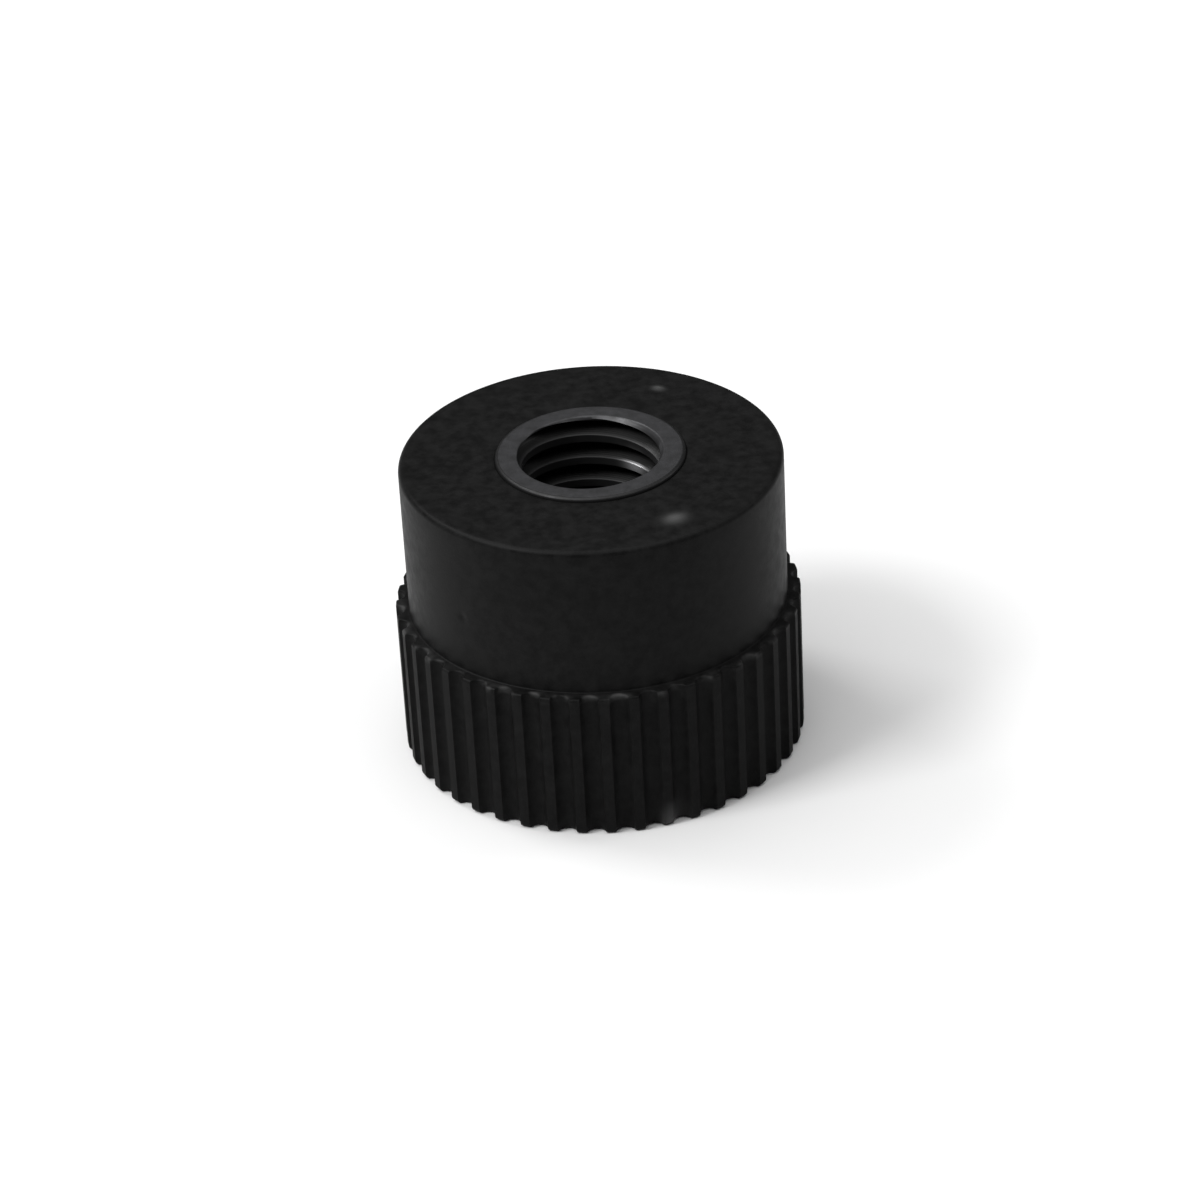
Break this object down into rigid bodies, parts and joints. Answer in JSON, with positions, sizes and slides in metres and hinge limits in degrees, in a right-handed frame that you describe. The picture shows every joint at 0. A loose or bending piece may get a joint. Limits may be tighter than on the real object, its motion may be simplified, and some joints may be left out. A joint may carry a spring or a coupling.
{
  "type": "knurled thumb nut",
  "caption": "Round black thumb nut: a plain collar above a straight-knurled gripping band, moulded round a threaded metal insert that opens at both ends.",
  "frame": {"origin": "centre of the flat base, on the thread's axis", "axes": "+Z along the thread, from the knurled end to the plain collar's end; +X and +Y both pass through a crest of the knurling"},
  "size_m": [0.02, 0.02, 0.0156],
  "materials": {
    "moulded_body": "black glass-filled nylon, moulded, fine satin texture",
    "insert_steel": "turned steel, blackened (black oxide), satin"
  },
  "bodies": {
    "root": {"moulded_body": "moulded_body", "threaded_insert": "insert_steel"}
  },
  "joints": []
}
